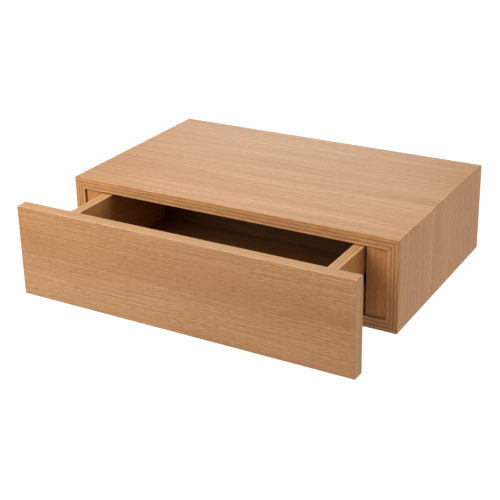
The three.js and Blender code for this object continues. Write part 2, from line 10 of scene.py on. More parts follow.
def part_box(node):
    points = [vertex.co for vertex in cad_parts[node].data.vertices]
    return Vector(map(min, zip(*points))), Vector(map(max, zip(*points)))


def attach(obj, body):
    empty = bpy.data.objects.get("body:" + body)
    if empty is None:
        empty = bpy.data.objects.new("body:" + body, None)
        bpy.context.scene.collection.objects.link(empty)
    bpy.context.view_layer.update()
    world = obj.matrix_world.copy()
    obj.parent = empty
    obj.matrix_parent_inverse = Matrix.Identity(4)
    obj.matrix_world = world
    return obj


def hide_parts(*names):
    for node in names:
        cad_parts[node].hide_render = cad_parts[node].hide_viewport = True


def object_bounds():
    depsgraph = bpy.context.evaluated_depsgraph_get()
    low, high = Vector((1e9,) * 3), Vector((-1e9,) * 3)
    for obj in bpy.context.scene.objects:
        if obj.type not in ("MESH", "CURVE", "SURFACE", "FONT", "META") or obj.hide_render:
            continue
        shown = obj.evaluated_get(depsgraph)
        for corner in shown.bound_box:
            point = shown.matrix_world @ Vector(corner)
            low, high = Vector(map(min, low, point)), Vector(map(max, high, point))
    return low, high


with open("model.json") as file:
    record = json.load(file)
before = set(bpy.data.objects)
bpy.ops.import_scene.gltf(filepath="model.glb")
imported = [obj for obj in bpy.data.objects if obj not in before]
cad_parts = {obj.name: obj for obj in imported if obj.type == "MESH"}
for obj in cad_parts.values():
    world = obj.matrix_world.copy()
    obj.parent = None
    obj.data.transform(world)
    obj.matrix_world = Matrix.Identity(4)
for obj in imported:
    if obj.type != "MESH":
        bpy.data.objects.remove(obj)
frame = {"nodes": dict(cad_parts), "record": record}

bl_info = {
    "name": "Floating nightstand",
    "version": (1, 0, 0),
    "blender": (4, 5, 0),
    "location": "3D View > Sidebar > Nightstand",
    "description": "Finishes the oak of a floating nightstand and models its screws, runners and latch",
    "category": "Object",
}

MM = 0.001

NODES = frame["nodes"]
BODIES = frame["record"]["behaviour"]["bodies"]
BODY_OF = {node: body for body, members in BODIES.items() for node in members}
CAD_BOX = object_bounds()

# To the right, into the wall and up
X, Y, Z = (1, 0, 0), (0, 1, 0), (0, 0, 1)

# Level and upright edges of the box, as the names of its boards, strips and bands give them
LEVELS = ("top", "bottom")
SIDES = ("left", "right")

# Least angle of a corner, and greatest angles of a bend that is shaded smooth and of faces that are as one
SHARP = math.radians(40)
SMOOTH = math.radians(50)
FLAT = math.radians(0.5)

# Least length of an edge that is rounded, on boards and on moulded pieces
LONG_EDGE = 30 * MM
MOULDED_EDGE = 2 * MM

# How close points lie that are the same, how thick a cut face is taken to be, and the Z below which a face's
# normal points down
NEAR = 0.01 * MM
CUT_FACE = 0.1 * MM
LOOKS_DOWN = -0.9

# How finely rounded edges, a screw's head and thread, and a pad are divided
EDGE_STEPS = 3
HEAD_STEPS = 40
THREAD_STEPS = 20
RIDGE_CORNERS = 3
PAD_STEPS = 40
PAD_RINGS = 24

# Share of its width that a recess keeps at its floor, and share of the core's radius left at a screw's tip
RECESS_TAPER = 0.55
BLUNT_POINT = 0.15

# Which way the heads of each group of screws face
SCREW_HEADS = {
    "hanging_cleat_screw": (0, -1, 0),
    "lower_rail_screw": (0, -1, 0),
    "latch_screw": (0, -1, 0),
    "front_panel_screw": (0, 1, 0),
    "left_cabinet_rail_screw": (1, 0, 0),
    "right_cabinet_rail_screw": (-1, 0, 0),
    "left_drawer_rail_screw": (-1, 0, 0),
    "right_drawer_rail_screw": (1, 0, 0),
}

# Width of the camera's sensor in millimetres
SENSOR_WIDTH = 36

# Side of the square lamps, and the spot that they are aimed at
LAMP_SIZE = 900 * MM
LAMP_AIM = Vector((0, -250 * MM, 0))

# Where each lamp stands, as degrees to the right of the front, degrees up and metres away, and whether gloss
# mirrors it. One that isn't mirrored leaves no glare on the lacquer
LAMPS = {
    "key": (-38, 38, 1.2, True),
    "high": (-35, 62, 1.9, True),
    "side": (101, 22, 1.9, False),
    "back": (-155, 15, 1.9, True),
}

# Colours that others are mixed with
BLACK = (0, 0, 0)
WHITE = (1, 1, 1)

# Level that patterns are added to, halfway from dark to pale
MIDDLE = 0.5

# Year rings drift across the grain, in waves this many rings wide and by less than this share of a wave, so
# that they lie close together in some places and far apart in others
RINGS_A_WAVE = 6
WAVE_SHARE = 1.3

# The veneer's fine rings are this many times narrower, and its pale flecks this many times longer
FINER = 2.3
LONGER = 1.3

# Share of its red that the veneer keeps on the level boards: painted light, a paler and less red tint for
# the light that the top takes
PAINTED_LIGHT_RED_SHARE = 0.95

# Share by which the inner faces of the drawer's ends are darker than those of its sides: painted shade
# inside the drawer
PAINTED_SHADE_OF_ENDS = 0.8

# Year rings as an edge shows them. Each has its place, as a share of the board's thickness, and its tone,
# as a share of the way from pale to dark wood: below 0 it goes on towards white, and above 1 towards black
# On the carcass's strips, the stops towards white at the outer and the inner edge are painted highlights
# along those edges
CARCASS_RING_SHARES = (
    (0, -0.05), (0.07, 0.75), (0.14, 0.35), (0.25, 0.1), (0.34, 0.45), (0.41, 1.12), (0.48, 0.35),
    (0.56, 0.1), (0.64, 0.5), (0.72, 1.1), (0.79, 0.35), (0.87, 0), (0.94, 0.25), (1, -0.12),
)
# On the bands, the first stop, towards white, is a painted highlight along the front edge
BAND_RING_SHARES = (
    (0, -0.06), (0.2, 0), (0.3, 0.75), (0.38, 0), (0.52, 0.15),
    (0.6, 1), (0.67, 0.25), (0.78, 0), (0.86, 0.8), (1, 0.35),
)
DRAWER_RING_SHARES = (
    (0.02, 0), (0.2, 0.2), (0.34, 0.5), (0.45, 0.1), (0.55, 0.35), (0.65, 0.65), (0.78, 0.1), (0.98, 0),
)


def linear(code):
    """The linear colour of an sRGB hex value."""
    shares = [int(code[i : i + 2], 16) / 255 for i in (1, 3, 5)]
    return [s / 12.92 if s <= 0.04045 else ((s + 0.055) / 1.055) ** 2.4 for s in shares]


def colour(name, description, code):
    """A colour that a user can change."""
    return FloatVectorProperty(
        name=name, description=description, subtype="COLOR", size=3, min=0, max=1, default=linear(code)
    )


def length(name, description, size):
    """A size in metres that a user can change."""
    return FloatProperty(name=name, description=description, unit="LENGTH", default=size, min=0, precision=5)


def angle(name, description, turn):
    """An angle in radians that a user can change."""
    return FloatProperty(name=name, description=description, subtype="ANGLE", default=turn)


def strength(name, description, level, unit="NONE"):
    """The strength of a light that a user can change."""
    return FloatProperty(name=name, description=description, unit=unit, default=level, min=0)


class OakFinish(bpy.types.PropertyGroup):
    """Colours of the oak, of the boards' core and of the plywood, and the size of the oak's figure"""

    pale: colour("Pale oak", "Lightest streaks of the veneer", "#CC9D6F")
    middle: colour("Oak", "Most of the veneer", "#B67F4B")
    dark: colour("Dark oak", "Darkest streaks of the veneer", "#9C6831")
    lip_pale: colour("Pale lipping", "Early wood of the strips on the front edges", "#DCA872")
    lip_dark: colour("Dark lipping", "Late wood of the strips on the front edges", "#985B2D")
    band: colour("Band oak", "Level bands round the drawer's front", "#C09468")
    # The upright bands' oak is the band oak made lighter: painted light on the upright bands
    upright_band_painted_light: colour("Upright band oak", "Upright bands round the drawer's front", "#D3A176")
    solid_pale: colour("Pale solid oak", "Light streaks of the filler strips", "#DA9F63")
    solid_dark: colour("Dark solid oak", "Dark streaks and pores of the filler strips", "#9B5427")
    inside: colour("Drawer oak", "Outer faces of the drawer box", "#A97341")
    inside_pale: colour("Pale drawer oak", "Early wood on the edges of the drawer box", "#D6A673")
    inside_dark: colour("Drawer oak streaks", "Darker streaks of the drawer box", "#8A5A31")
    # The drawer's inner faces have a tone of their own, set to the light inside the drawer and not to age:
    # painted light and shade
    inside_face: colour("Drawer inside", "Inner faces of the drawer box, darkened with age", "#CB8D53")
    # The drawer's bottom is darker than the rest of its oak: painted shade for the dark inside of the drawer
    bottom: colour("Drawer bottom", "Oak face of the drawer's bottom", "#82522A")
    core_dark: colour("Dark core", "Dark felt of the fibreboard in the boards", "#8E6A44")
    core_pale: colour("Pale core", "Pale felt of the fibreboard in the boards", "#A98259")
    ply_dark: colour("Dark ply", "Dark streaks on the faces of plywood", "#C0966A")
    ply_pale: colour("Pale ply", "Pale streaks on the faces of plywood", "#D9B384")
    cross_dark: colour("Dark cross ply", "Dark streaks of its cross plies, seen on the edges", "#8A6238")
    cross_pale: colour("Pale cross ply", "Pale streaks of its cross plies, seen on the edges", "#A67C4C")
    ring_width: length("Ring width", "Usual width of one year ring where it reaches the face", 5 * MM)
    ring_length: length("Ring length", "Distance along the grain over which the rings change", 600 * MM)
    line_width: length("Line width", "Width of one fine line of the grain", 1.2 * MM)
    line_length: length("Line length", "Length of one fine line of the grain", 90 * MM)
    fleck_width: length("Fleck width", "Width of one ray fleck", 1.2 * MM)
    fleck_length: length("Fleck length", "Length of one ray fleck", 11 * MM)
    pore_width: length("Pore width", "Width of one pore, drawn as coarse as it needs to show", 0.7 * MM)
    pore_length: length("Pore length", "Length of one pore", 9 * MM)


class FittingSizes(bpy.types.PropertyGroup):
    """Sizes and colours of the fittings, and the radii of rounded edges"""

    recess_width: length("Recess width", "Width of each slot of a screw's cross recess", 0.8 * MM)
    recess_length: length("Recess length", "Length of each slot of a screw's cross recess", 3.4 * MM)
    recess_depth: length("Recess depth", "Depth of a screw's cross recess", 1.1 * MM)
    head_rim: length("Head rim", "Height of the straight rim of a screw's head", 0.3 * MM)
    head_depth: length("Head depth", "Depth of a screw's countersunk head", 1.7 * MM)
    root_radius: length("Thread root", "Radius of a screw's core", 1.15 * MM)
    crest_radius: length("Thread crest", "Radius of a screw's thread", 1.75 * MM)
    pitch: length("Thread pitch", "Distance from one turn of the thread to the next", 1.4 * MM)
    point: length("Screw point", "Length of a screw's cone", 2.5 * MM)
    eased_edge: length("Eased edge", "Radius on the free edges of the drawer box and cleats", 0.7 * MM)
    crisp_edge: length("Crisp edge", "Radius sanded on the carcass's edging", 0.35 * MM)
    groove_edge: length("Groove edge", "Radius on the filler strips, for a shadow line round them", 1 * MM)
    moulded_edge: length("Moulded edge", "Radius on the edges of latch and strike plate", 0.3 * MM)
    zinc: colour("Zinc", "Bright zinc plating of screws and cages", "#B9BCC0")
    black: colour("Black coating", "Coating of the runners' rails", "#17171A")
    latch_grey: colour("Latch grey", "Acetal of the touch latch", "#8D8F92")
    pad_clear: colour("Pad", "Soft polyurethane of the bumper pads", "#E6E4DE")


class StageSettings(bpy.types.PropertyGroup):
    """Camera, lights and floor"""

    camera_place: FloatVectorProperty(
        name="Camera place",
        description="Where the camera stands",
        subtype="TRANSLATION",
        default=(0.72765, -1.49705, 0.63521),
    )
    camera_yaw: angle("Yaw", "Camera's turn to the left", 0.5238)
    camera_pitch: angle("Pitch", "How far the camera looks down", 0.3795)
    camera_roll: angle("Roll", "Camera's turn about its own line of sight", -0.0198)
    lens: FloatProperty(name="Lens", description="Focal length", unit="CAMERA", default=81.68, min=1)
    shift: FloatProperty(name="Shift", description="Shift upwards, as a share of the frame", default=-0.1)
    floor_drop: length("Floor drop", "How far the nightstand hangs above the floor", 0.47)
    floor_size: length("Floor size", "Width of the floor", 14)
    sky: strength("Sky", "Light from all round", 0.305)
    key_power: strength("Key", "Power of the near lamp at the front left", 13.2, "POWER")
    high_power: strength("High", "Power of the lamp above the front", 10.1, "POWER")
    side_power: strength("Side", "Power of the lamp on the right", 13.4, "POWER")
    back_power: strength("Back", "Power of the lamp behind", 3.2, "POWER")
    floor: colour("Floor", "Matt floor", "#BEBEBE")
    floor_lift: strength("Floor lift", "Glow of the floor below the nightstand, where it is seen", 0.7)
    shadow_reach: length("Shadow reach", "Distance at which the floor has risen to plain white", 3)


# Materials


def opaque(rgb):
    """A colour with nothing see-through about it, as sockets and stops take it."""
    return (*rgb, 1)


def mixed(rgb_a, rgb_b, share):
    """A colour that is `share` of the way from one to another."""
    return [a + (b - a) * share for a, b in zip(rgb_a, rgb_b)]


def toned(pale, dark, share):
    """A colour `share` of the way from pale to dark: below 0 towards white, and above 1 towards black."""
    if share < 0:
        return mixed(pale, WHITE, -share)
    if share > 1:
        return mixed(dark, BLACK, share - 1)
    return mixed(pale, dark, share)


def add(tree, kind, links=None, stops=(), out=0, **settings):
    """Adds a node, sets its settings and a ramp's (level, colour) stops, and links or sets its inputs.

    It gives back the output `out`, or None from a node that has none.
    """
    made = tree.nodes.new("ShaderNode" + kind)
    for name, value in settings.items():
        setattr(made, name, value)
    if stops:
        points = made.color_ramp.elements
        while len(points) < len(stops):
            points.new(1)
        for point, (level, rgb) in zip(points, stops):
            point.position = level
            point.color = opaque(rgb)
    for socket, value in (links or {}).items():
        if isinstance(value, bpy.types.NodeSocket):
            tree.links.new(value, made.inputs[socket])
        else:
            made.inputs[socket].default_value = value
    return made.outputs[out] if made.outputs else None


def bare_tree(owner):
    """The node tree of a material or of the world, emptied."""
    owner.use_nodes = True
    owner.node_tree.nodes.clear()
    return owner.node_tree


def new_finish(name):
    """A material and its empty node tree."""
    material = bpy.data.materials.new(name)
    return material, bare_tree(material)


def coat(tree, shade, grain=None, deep=0, **surface):
    """The surface of a finish: a Principled shader with this colour, whose other sockets are set by name.

    `grain` is a pattern for its bump, `deep` metres from its lowest to its highest.
    """
    sockets = {"Base Color": shade, **{name.replace("_", " "): value for name, value in surface.items()}}
    if grain is not None:
        sockets["Normal"] = add(tree, "Bump", {"Height": grain, "Distance": deep, "Strength": 1})
    shader = add(tree, "BsdfPrincipled", sockets)
    add(tree, "OutputMaterial", {"Surface": shader})


def part_of(tree, axis):
    """One coordinate of the place, in metres."""
    spot = add(tree, "TexCoord", out="Object")
    return add(tree, "SeparateXYZ", {0: spot}, out=axis)


def grain_place(tree, along, across, leaf):
    """Metres along the grain, across it, and a fixed level that gives each leaf of wood its own figure."""
    spot = add(tree, "TexCoord", out="Object")
    run = add(tree, "VectorMath", {0: spot, 1: along}, operation="DOT_PRODUCT", out="Value")
    rise = add(tree, "VectorMath", {0: spot, 1: across}, operation="DOT_PRODUCT", out="Value")
    return add(tree, "CombineXYZ", {"X": run, "Y": rise, "Z": leaf})


def streaks(tree, place, long, wide, detail=1, leaf=0, levels=None, top=1):
    """Noise drawn out along the grain: a streak is `long` by `wide`, and each `leaf` has others.

    Where `levels` are given, it is 0 up to the first of them and rises to `top` at the second.
    """
    stretch = {0: place, 1: (1 / long, 1 / wide, 1), 2: (0, 0, leaf)}
    scaled = add(tree, "VectorMath", stretch, operation="MULTIPLY_ADD")
    noise = add(tree, "TexNoise", {"Vector": scaled, "Scale": 1, "Detail": detail})
    if levels is None:
        return noise
    rise = {"Value": noise, "From Min": levels[0], "From Max": levels[1], "To Max": top}
    return add(tree, "MapRange", rise)


def sway(tree, place, long, wide, reach, zone=1):
    """The same place, moved across the grain by up to `reach` in slow waves, where `zone` is above 0."""
    waves = streaks(tree, place, long, wide, leaf=7)
    moved = add(tree, "Math", {0: waves, 1: reach, 2: -reach / 2}, operation="MULTIPLY_ADD")
    kept = add(tree, "Math", {0: moved, 1: zone}, operation="MULTIPLY")
    push = add(tree, "CombineXYZ", {"Y": kept})
    return add(tree, "VectorMath", {0: place, 1: push}, operation="ADD")


def year_rings(tree, place, long, wide, leaf):
    """Lines about `wide` apart along the grain: each fades from dark to pale, up to the next one."""
    slow = wide * RINGS_A_WAVE
    field = streaks(tree, place, long, slow, leaf=leaf)
    across = add(tree, "SeparateXYZ", {0: place}, out="Y")
    moved = add(tree, "Math", {0: field, 1: slow * WAVE_SHARE, 2: across}, operation="MULTIPLY_ADD")
    count = add(tree, "Math", {0: moved, 1: wide}, operation="DIVIDE")
    return add(tree, "Math", {0: count}, operation="FRACT")


def add_up(tree, *parts):
    """A middle level with patterns added to it, each as (pattern about the middle, weight)."""
    total = MIDDLE - MIDDLE * sum(weight for _, weight in parts)
    for pattern, weight in parts:
        total = add(tree, "Math", {0: pattern, 1: weight, 2: total}, operation="MULTIPLY_ADD")
    return total


def oak_veneer(
    name, along, across, leaf, flecked, coarse=1, ringed=1, soft=0, sheen=0.5, core_at=None, shades=None
):
    """Sliced oak veneer, sanded and lacquered matt: straight streaks, fine lines, ray flecks and open pores.

    `flecked` is 0 for quiet, straight veneer and 1 for a leaf with wavy lines and many flecks. `coarse`
    draws the figure wider on boards that are seen at a low angle, where it would be too fine to show.
    `ringed` is the strength of its fine lines, and `soft` that of wide, straight bands without edges.
    `core_at` is the place along Y of a cut face, which shows the board's core. `shades` are the veneer's
    dark, middle and pale colours.
    """
    oak = bpy.context.scene.nightstand_oak
    material, tree = new_finish(name)
    place = grain_place(tree, along, across, leaf)
    curl_zone = streaks(
        tree, place, long=190 * MM, wide=90 * MM, detail=0, leaf=29, levels=(0.42, 0.56), top=flecked
    )
    fleck_zone = streaks(
        tree, place, long=120 * MM, wide=45 * MM, leaf=19, levels=(0.36, 0.6), top=flecked
    )
    bent = sway(tree, place, long=150 * MM, wide=40 * MM, reach=4 * MM)
    curly = sway(tree, bent, long=30 * MM, wide=30 * MM, reach=6 * MM, zone=curl_zone)
    ripple = sway(tree, curly, long=oak.fleck_length, wide=6 * MM, reach=1.2 * MM)
    broad = streaks(tree, place, long=420 * MM, wide=60 * MM * coarse, leaf=3)
    bands = streaks(tree, bent, long=320 * MM, wide=9 * MM * coarse, leaf=41)
    ring, fleck, pore = (width * coarse for width in (oak.ring_width, oak.fleck_width, oak.pore_width))
    rings = year_rings(tree, curly, oak.ring_length, ring, leaf=31)
    fine_rings = year_rings(tree, curly, oak.ring_length, ring / FINER, leaf=37)
    lines = streaks(tree, curly, oak.line_length * coarse, oak.line_width * coarse, leaf=5)
    dark_flecks = streaks(tree, ripple, oak.fleck_length, fleck, leaf=11, levels=(0.36, 0.5))
    longer = oak.fleck_length * LONGER
    pale_flecks = streaks(tree, ripple, longer, fleck, leaf=17, levels=(0.54, 0.7))
    open_pores = streaks(tree, curly, oak.pore_length, pore, detail=0, leaf=13, levels=(0.3, 0.5))

    # Outside their zones, curly lines and flecks stay at a plain level
    curly_rings = add(tree, "Mix", {"Factor": curl_zone, 2: 0.5, 3: fine_rings})
    dark_flecks = add(tree, "Mix", {"Factor": fleck_zone, 2: 0.85, 3: dark_flecks})
    pale_flecks = add(tree, "Mix", {"Factor": fleck_zone, 2: 0.15, 3: pale_flecks})
    tone = add_up(
        tree,
        (broad, 0.5),
        (bands, 0.6 * soft),
        (rings, 0.2 * ringed),
        (fine_rings, 0.16 * ringed),
        (curly_rings, 0.2),
        (lines, 0.56 * ringed),
        (dark_flecks, 0.2),
        (pale_flecks, 0.26),
        (open_pores, 0.22 * ringed),
    )
    dark, middle, pale = shades or (oak.dark, oak.middle, oak.pale)
    stops = (0.1, dark), (0.5, middle), (0.9, pale)
    shade = add(tree, "ValToRGB", {"Fac": tone}, stops)
    if core_at is not None:
        shade = with_core(tree, shade, core_at)
    grain = add_up(tree, (open_pores, 0.6), (lines, 0.4))
    coat(tree, shade, grain, deep=0.06 * MM, Roughness=0.42, IOR=1.5, Specular_IOR_Level=sheen)
    return material


def with_core(tree, shade, core_at):
    """Fibreboard core, felted and even, on the boards' cut faces that lie at `core_at` along Y."""
    oak = bpy.context.scene.nightstand_oak
    felt = streaks(tree, grain_place(tree, X, Z, 1), long=2 * MM, wide=1.4 * MM, detail=3)
    stops = (0.3, oak.core_dark), (0.7, oak.core_pale)
    core = add(tree, "ValToRGB", {"Fac": felt}, stops)
    cut = {0: part_of(tree, "Y"), 1: core_at, 2: CUT_FACE}
    here = add(tree, "Math", cut, operation="COMPARE")
    return add(tree, "Mix", {"Factor": here, 6: shade, 7: core}, data_type="RGBA", out=2)


def solid_oak(name, along, across, leaf, deeper):
    """Solid oak sawn flat and lacquered: strong streaks, and coarse pores that show as short dark dashes.

    `deeper` darkens the whole strip by that share, because no two strips are cut from the same tree.
    """
    oak = bpy.context.scene.nightstand_oak
    material, tree = new_finish(name)
    place = grain_place(tree, along, across, leaf)
    bent = sway(tree, place, long=60 * MM, wide=12 * MM, reach=3 * MM)
    figure = streaks(tree, bent, long=120 * MM, wide=4 * MM, detail=2)
    lines = streaks(tree, bent, long=50 * MM, wide=1.5 * MM, leaf=5)
    pores = streaks(tree, bent, long=7 * MM, wide=0.8 * MM, detail=0, leaf=13, levels=(0.32, 0.46))
    tone = add_up(tree, (figure, 0.5), (lines, 0.6), (pores, 0.2))
    pale, dark = (mixed(rgb, BLACK, deeper) for rgb in (oak.solid_pale, oak.solid_dark))
    stops = (0.1, dark), (0.5, mixed(dark, pale, 0.55)), (0.9, pale)
    shade = add(tree, "ValToRGB", {"Fac": tone}, stops)
    grain = add_up(tree, (pores, 0.6), (lines, 0.4))
    coat(tree, shade, grain, deep=0.08 * MM, Roughness=0.5, IOR=1.5, Specular_IOR_Level=0.2)
    return material


def lipping(tree, depth, run, leaf, reach, drift, ring_shares, pale, dark, plain, fade, flame, sheen):
    """A straight-grained strip: its year rings run the length of it as dark and pale lines.

    `depth` and `run` are the place across and along it, and `reach` is how deep it is. The rings wander by
    up to `drift`. In places they fade, by up to `fade`, into wood of the tone `plain`, and short flames of
    the tone `flame` lie over them.
    """
    place = add(tree, "CombineXYZ", {"X": run, "Y": depth, "Z": leaf})
    wander = streaks(tree, place, long=45 * MM, wide=9 * MM, detail=4)
    moved = add(tree, "Math", {0: wander, 1: 2 * drift, 2: depth}, operation="MULTIPLY_ADD")
    level = add(tree, "Math", {0: moved, 1: drift}, operation="SUBTRACT")
    share = add(tree, "MapRange", {"Value": level, "From Min": 0, "From Max": reach})
    # Stops below 0, towards white, are painted highlights along the strips' edges
    stops = [(at, toned(pale, dark, tone)) for at, tone in ring_shares]
    shade = add(tree, "ValToRGB", {"Fac": share}, stops)
    faint = streaks(tree, place, long=40 * MM, wide=3 * MM, leaf=9, levels=(0.38, 0.6), top=fade)
    flames = streaks(tree, place, long=16 * MM, wide=0.9 * MM, detail=2, leaf=5)
    rise = {"Value": flames, "From Min": 0.42, "From Max": 0.7, "To Max": 0.6}
    burning = add(tree, "MapRange", rise)
    for zone, tone in ((faint, plain), (burning, flame)):
        over = {"Factor": zone, 6: shade, 7: opaque(toned(pale, dark, tone))}
        shade = add(tree, "Mix", over, data_type="RGBA", out=2)
    coat(tree, shade, flames, deep=0.05 * MM, Roughness=0.44, IOR=1.5, Specular_IOR_Level=sheen)


def carcass_lipping():
    """Oak strips on the carcass's front edges, straight-grained and lacquered matt.

    Their rings lie parallel to the outer faces and meet at the mitres.
    """
    oak = bpy.context.scene.nightstand_oak
    material, tree = new_finish("oak_edge_strip")
    low, high = CAD_BOX
    middle = (low.z + high.z) / 2
    along_x, along_z = part_of(tree, "X"), part_of(tree, "Z")
    away_x = add(tree, "Math", {0: along_x}, operation="ABSOLUTE")
    side = add(tree, "Math", {0: high.x, 1: away_x}, operation="SUBTRACT")
    lifted = add(tree, "Math", {0: along_z, 1: middle}, operation="SUBTRACT")
    away_z = add(tree, "Math", {0: lifted}, operation="ABSOLUTE")
    level = add(tree, "Math", {0: high.z - middle, 1: away_z}, operation="SUBTRACT")
    depth = add(tree, "Math", {0: side, 1: level}, operation="MINIMUM")
    upright = add(tree, "Math", {0: side, 1: level}, operation="LESS_THAN")
    run = add(tree, "Mix", {"Factor": upright, 2: along_x, 3: along_z})
    low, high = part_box("top_edging")
    lipping(
        tree, depth, run, leaf=2, reach=high.z - low.z, drift=2 * MM, ring_shares=CARCASS_RING_SHARES,
        pale=oak.lip_pale, dark=oak.lip_dark, plain=0.35, fade=0.5, flame=0.9, sheen=0.15,
    )
    return material


def front_lipping(name, pale, sheen, fade):
    """Thin oak bands round the drawer's front panel, straight-grained, with rings parallel to its face."""
    oak = bpy.context.scene.nightstand_oak
    material, tree = new_finish(name)
    low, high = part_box("front_panel")
    depth = add(tree, "Math", {0: part_of(tree, "Y"), 1: low.y}, operation="SUBTRACT")
    # One of the two hardly changes on each band, so that their sum runs along all four
    run = add(tree, "Math", {0: part_of(tree, "X"), 1: part_of(tree, "Z")}, operation="ADD")
    lipping(
        tree, depth, run, leaf=6, reach=high.y - low.y, drift=0.5 * MM, ring_shares=BAND_RING_SHARES,
        pale=pale, dark=mixed(oak.dark, BLACK, 0.15), plain=0.2, fade=fade, flame=0.5, sheen=sheen,
    )
    return material


def drawer_oak(name, along, across, layer_axis, inner, outer, painted_inner_tone, leaf):
    """Solid oak of the drawer box, thinly lacquered: rings lie along the board and show on its edges.

    `inner` and `outer` are the places of its faces along the layer axis. The inner face takes a tone of its
    own, painted to the light and shade inside the drawer.
    """
    oak = bpy.context.scene.nightstand_oak
    material, tree = new_finish(name)
    place = grain_place(tree, along, across, leaf)
    figure = streaks(tree, place, long=90 * MM, wide=4 * MM, detail=4)
    fine = streaks(tree, place, long=26 * MM, wide=1.1 * MM, detail=2, leaf=5)
    depth = add(tree, "Math", {0: part_of(tree, layer_axis)}, operation="ABSOLUTE")
    share = add(tree, "MapRange", {"Value": depth, "From Min": inner, "From Max": outer})
    rings = [(at, toned(oak.inside_pale, oak.inside_dark, tone)) for at, tone in DRAWER_RING_SHARES]
    # The inner face's stop is its painted tone
    stops = [(0, painted_inner_tone), *rings, (1, oak.inside)]
    layers = add(tree, "ValToRGB", {"Fac": share}, stops)
    tone = add_up(tree, (figure, 1), (fine, 0.6))
    rise = {"Value": tone, "From Min": 0.2, "From Max": 0.8, "To Max": 0.5}
    streaky = add(tree, "MapRange", rise)
    over = {"Factor": streaky, 6: layers, 7: opaque(oak.inside_dark)}
    shade = add(tree, "Mix", over, data_type="RGBA", out=2)
    coat(tree, shade, fine, deep=0.08 * MM, Roughness=0.5, IOR=1.5, Specular_IOR_Level=0.35)
    return material


def plywood(name, start, ply, leaf):
    """Birch plywood, bare: one ply shows on its faces, and pale and brown plies by turns on its edges.

    The plies lie one behind another along Y, from `start`.
    """
    oak = bpy.context.scene.nightstand_oak
    material, tree = new_finish(name)
    place = grain_place(tree, X, Z, leaf)
    figure = streaks(tree, place, long=240 * MM, wide=9 * MM, detail=3)
    fine = streaks(tree, place, long=30 * MM, wide=1 * MM, detail=2, leaf=5)
    offset = {0: part_of(tree, "Y"), 1: start - ply / 2}
    depth = add(tree, "Math", offset, operation="SUBTRACT")
    turn = add(tree, "Math", {0: depth, 1: ply}, operation="PINGPONG")
    seam = {"Value": turn, "From Min": 0.46 * ply, "From Max": 0.54 * ply}
    brown = add(tree, "MapRange", seam)
    tone = add_up(tree, (figure, 0.9), (fine, 0.35))
    face, cross = (
        add(tree, "ValToRGB", {"Fac": tone}, ((0.2, dark), (0.8, pale)))
        for dark, pale in ((oak.ply_dark, oak.ply_pale), (oak.cross_dark, oak.cross_pale))
    )
    layers = add(tree, "Mix", {"Factor": brown, 6: face, 7: cross}, data_type="RGBA", out=2)
    coat(tree, layers, fine, deep=0.06 * MM, Roughness=0.62, IOR=1.48)
    return material


def black_steel():
    """Rolled steel with a black electrocoat: satin, with a faint unevenness from rolling."""
    fittings = bpy.context.scene.nightstand_fittings
    material, tree = new_finish("black_coated_steel")
    place = grain_place(tree, Y, Z, 1)
    rolled = streaks(tree, place, long=40 * MM, wide=2 * MM, detail=3)
    scuffs = streaks(tree, place, long=12 * MM, wide=0.8 * MM, detail=2, leaf=4)
    stops = (0.45, fittings.black), (0.8, mixed(fittings.black, fittings.zinc, 0.25))
    worn = add(tree, "ValToRGB", {"Fac": scuffs}, stops)
    rough = {"Value": rolled, "From Min": 0.3, "From Max": 0.7, "To Min": 0.3, "To Max": 0.46}
    satin = add(tree, "MapRange", rough)
    coat(tree, worn, rolled, deep=0.03 * MM, Metallic=0.3, IOR=1.5, Roughness=satin)
    return material


def zinc_steel():
    """Steel with bright zinc plating: bluish white, with fine cloudy crystals."""
    fittings = bpy.context.scene.nightstand_fittings
    material, tree = new_finish("zinc_plated_steel")
    # The axes slant, so that the clouds keep their shape on a face that looks along X, Y or Z
    place = grain_place(tree, (1, 0.3, 0), (0, 0.7, 1), 1)
    clouds = streaks(tree, place, long=3 * MM, wide=2 * MM, detail=3)
    stops = (0.3, mixed(fittings.zinc, BLACK, 0.25)), (0.7, fittings.zinc)
    shade = add(tree, "ValToRGB", {"Fac": clouds}, stops)
    rough = {"Value": clouds, "From Min": 0.3, "From Max": 0.7, "To Min": 0.22, "To Max": 0.38}
    coat(tree, shade, Metallic=1, Roughness=add(tree, "MapRange", rough))
    return material


def moulded_acetal():
    """Acetal, moulded: grey, faintly waxy, with a fine spark-eroded grain."""
    fittings = bpy.context.scene.nightstand_fittings
    material, tree = new_finish("moulded_acetal")
    place = grain_place(tree, X, (0, 0.6, 1), 1)
    grain = streaks(tree, place, long=0.6 * MM, wide=0.6 * MM, detail=2)
    stops = (0.3, mixed(fittings.latch_grey, BLACK, 0.1)), (0.7, fittings.latch_grey)
    shade = add(tree, "ValToRGB", {"Fac": grain}, stops)
    coat(tree, shade, grain, deep=0.03 * MM, Roughness=0.42, IOR=1.48)
    return material


def soft_polyurethane():
    """Cast polyurethane of the bumper pads: nearly clear, a little cloudy."""
    fittings = bpy.context.scene.nightstand_fittings
    material, tree = new_finish("soft_polyurethane")
    place = grain_place(tree, X, Z, 1)
    haze = streaks(tree, place, long=2.5 * MM, wide=2.5 * MM, detail=2)
    stops = (0.3, mixed(fittings.pad_clear, BLACK, 0.08)), (0.7, fittings.pad_clear)
    shade = add(tree, "ValToRGB", {"Fac": haze}, stops)
    coat(tree, shade, Roughness=0.22, IOR=1.5, Transmission_Weight=0.55)
    return material


def finish(node, material):
    """Gives a carried-over node its material."""
    slots = NODES[node].data.materials
    slots.clear()
    slots.append(material)


# Modelling


def only(piece):
    """Selects one object alone and makes it the active one."""
    bpy.ops.object.select_all(action="DESELECT")
    piece.select_set(True)
    bpy.context.view_layer.objects.active = piece


